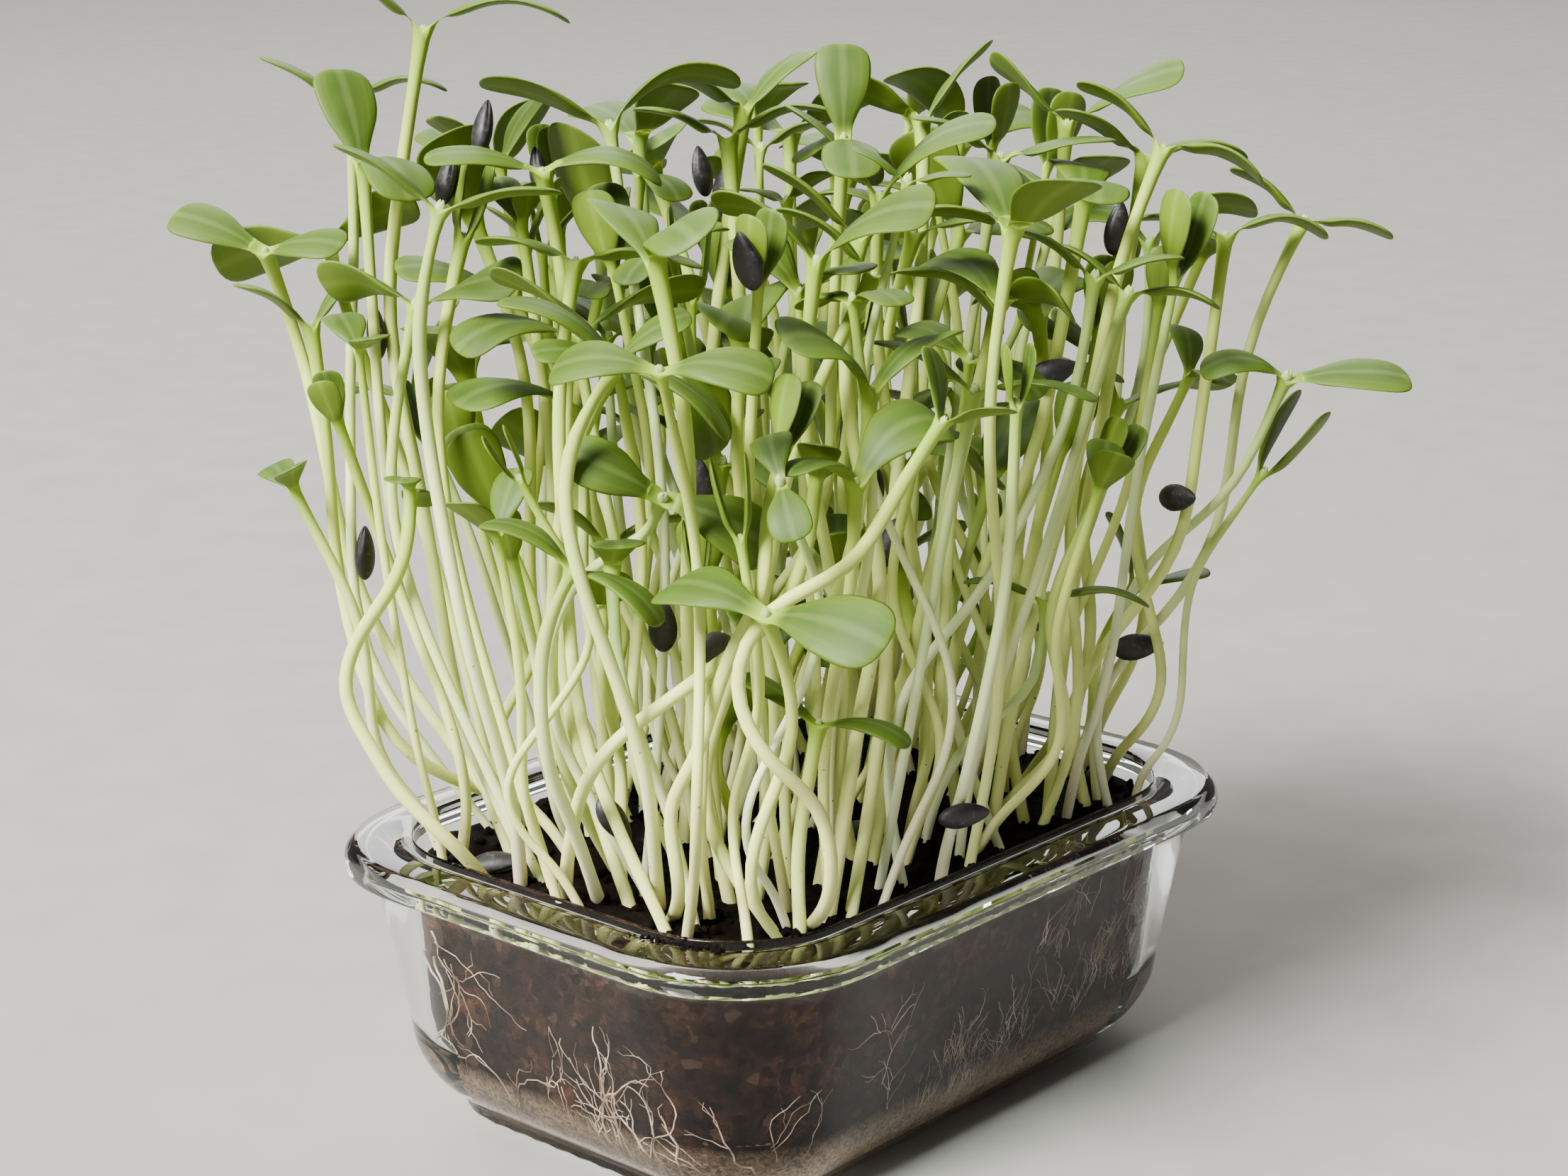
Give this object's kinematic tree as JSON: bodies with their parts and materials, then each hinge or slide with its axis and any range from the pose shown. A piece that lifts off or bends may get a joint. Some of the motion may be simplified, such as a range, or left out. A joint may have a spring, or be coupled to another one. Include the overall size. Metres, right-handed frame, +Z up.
{
  "type": "microgreens tray",
  "caption": "Clear glass food dish filled with dark soil, carrying a dense crowd of tall sunflower shoots with paired seed leaves, some still holding black seed hulls.",
  "frame": {"origin": "middle of the dish's flat underside, on the surface it stands on", "axes": "+Z up, X along the dish's long side, Y across it, and the tallest shoot stands over the corner at -X +Y"},
  "size_m": [0.2065, 0.2057, 0.2468],
  "materials": {
    "glass": "clear, polished",
    "soil": "matte, moist and crumbly",
    "roots": "satin",
    "seedlings": "satin",
    "hull": "satin, finely ridged"
  },
  "bodies": {
    "root": {"glass_dish": "glass", "soil": "soil", "wall_roots": "roots", "seedlings_01": "seedlings", "seedlings_02": "seedlings", "seedlings_03": "seedlings", "seedlings_04": "seedlings", "seedlings_05": "seedlings", "seedlings_06": "seedlings", "seedlings_07": "seedlings", "seedlings_08": "seedlings", "seedlings_09": "seedlings", "seedlings_10": "seedlings", "seedlings_11": "seedlings", "seedlings_12": "seedlings", "seedlings_13": "seedlings", "seedlings_14": "seedlings", "seedlings_15": "seedlings", "seedlings_16": "seedlings", "seedlings_17": "seedlings", "seedlings_18": "seedlings", "seedlings_19": "seedlings", "seedlings_20": "seedlings", "seedlings_21": "seedlings", "seedlings_22": "seedlings", "seedlings_23": "seedlings", "seedlings_24": "seedlings", "seedlings_25": "seedlings", "seedlings_26": "seedlings", "seedlings_27": "seedlings", "seedlings_28": "seedlings", "seedlings_29": "seedlings", "seedlings_30": "seedlings", "seedlings_31": "seedlings", "seedlings_32": "seedlings", "seedlings_33": "seedlings", "seedlings_34": "seedlings", "seedlings_35": "seedlings", "seedlings_36": "seedlings", "seedlings_37": "seedlings", "seedlings_38": "seedlings", "seedlings_39": "seedlings", "seedlings_40": "seedlings", "seedlings_41": "seedlings", "seedlings_42": "seedlings", "seedlings_43": "seedlings", "hull_01": "hull", "hull_02": "hull", "hull_03": "hull", "hull_04": "hull", "hull_05": "hull", "hull_06": "hull", "hull_07": "hull", "hull_08": "hull", "hull_09": "hull", "hull_10": "hull", "hull_11": "hull", "hull_12": "hull", "hull_13": "hull", "hull_14": "hull"}
  },
  "joints": []
}
